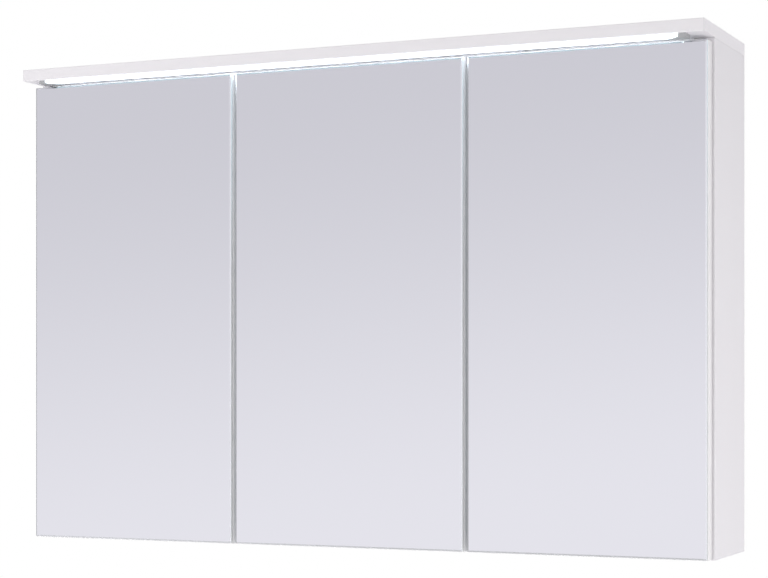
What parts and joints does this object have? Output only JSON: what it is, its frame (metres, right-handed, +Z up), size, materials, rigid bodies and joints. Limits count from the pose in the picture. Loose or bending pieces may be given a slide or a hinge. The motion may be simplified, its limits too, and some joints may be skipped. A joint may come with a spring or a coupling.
{
  "type": "bathroom mirror cabinet",
  "caption": "Wall-hung mirror cabinet with hinged mirror doors, glass shelves and a light bar under its overhanging top board.",
  "frame": {"origin": "middle of the wall screw pattern, on the wall plane behind the cabinet", "axes": "+X to the right as seen from the front, +Y back into the wall, +Z up"},
  "size_m": [1, 0.205, 0.673],
  "materials": {
    "white_melamine": "white melamine-faced board with bonded edges, semi-gloss",
    "inner_melamine": "white melamine-faced board, fine matt grain",
    "clear_glass": "clear float glass with ground edges",
    "mirror_glass": "silvered float glass with a ground arris",
    "foam_tape": "white foam mounting tape",
    "nickel_steel": "nickel-plated steel",
    "zinc_steel": "zinc-plated steel",
    "beech": "grooved beech",
    "clear_bumper": "clear soft polyurethane",
    "anodised_aluminium": "anodised aluminium extrusion",
    "light_strip": "white circuit strip with light chips",
    "opal_diffuser": "opal acrylic, lit",
    "grey_plastic": "grey moulded plastic",
    "white_plastic": "white moulded plastic",
    "lead_sheath": "white flexible sheath"
  },
  "bodies": {
    "cabinet": {"top_board": "white_melamine", "left_side_panel": "white_melamine", "right_side_panel": "white_melamine", "bottom_panel": "inner_melamine", "left_partition": "inner_melamine", "right_partition": "inner_melamine", "back_panel": "inner_melamine", "top_rails": "inner_melamine", "left_upper_shelf": "clear_glass", "left_lower_shelf": "clear_glass", "middle_upper_shelf": "clear_glass", "middle_lower_shelf": "clear_glass", "right_upper_shelf": "clear_glass", "right_lower_shelf": "clear_glass", "shelf_pins": "nickel_steel", "cam_bolts": "nickel_steel", "hinge_arms": "nickel_steel", "hinge_plates": "nickel_steel", "cam_locks": "zinc_steel", "partition_screws": "zinc_steel", "plate_screws": "zinc_steel", "driver_screws": "zinc_steel", "hanger_hooks": "zinc_steel", "wall_plates": "zinc_steel", "hanger_screws": "zinc_steel", "wood_dowels": "beech", "led_profile": "anodised_aluminium", "led_strip": "light_strip", "led_diffuser": "opal_diffuser", "led_end_caps": "grey_plastic", "cable_grommet": "grey_plastic", "led_driver": "white_plastic", "switch_box": "white_plastic", "socket_insert": "white_plastic", "lead_clips": "white_plastic", "hanger_bodies": "white_plastic", "led_lead": "lead_sheath", "switch_lead": "lead_sheath"},
    "left_door": {"left_door_board": "white_melamine", "left_door_mirror": "mirror_glass", "left_mirror_tape": "foam_tape", "left_hinge_cups": "nickel_steel", "left_hinge_pins": "nickel_steel", "left_cup_screws": "zinc_steel", "left_door_bumpers": "clear_bumper"},
    "middle_door": {"middle_door_board": "white_melamine", "middle_door_mirror": "mirror_glass", "middle_mirror_tape": "foam_tape", "middle_hinge_cups": "nickel_steel", "middle_hinge_pins": "nickel_steel", "middle_cup_screws": "zinc_steel", "middle_door_bumpers": "clear_bumper"},
    "right_door": {"right_door_board": "white_melamine", "right_door_mirror": "mirror_glass", "right_mirror_tape": "foam_tape", "right_hinge_cups": "nickel_steel", "right_hinge_pins": "nickel_steel", "right_cup_screws": "zinc_steel", "right_door_bumpers": "clear_bumper"},
    "rocker": {"switch_rocker": "white_plastic"}
  },
  "joints": [
    {"name": "left_door_hinge", "type": "hinge", "parent": "cabinet", "child": "left_door", "pos_m": [-0.488, -0.168, -0.272], "axis": [0, 0, -1], "range_deg": [0, 95]},
    {"name": "middle_door_hinge", "type": "hinge", "parent": "cabinet", "child": "middle_door", "pos_m": [-0.1605, -0.168, -0.272], "axis": [0, 0, -1], "range_deg": [0, 95]},
    {"name": "right_door_hinge", "type": "hinge", "parent": "cabinet", "child": "right_door", "pos_m": [0.488, -0.168, -0.272], "axis": [0, 0, 1], "range_deg": [0, 95]},
    {"name": "switch_rocker_tilt", "type": "hinge", "parent": "cabinet", "child": "rocker", "pos_m": [0.3575, -0.057, -0.532], "axis": [1, 0, 0], "range_deg": [0, 12]}
  ]
}
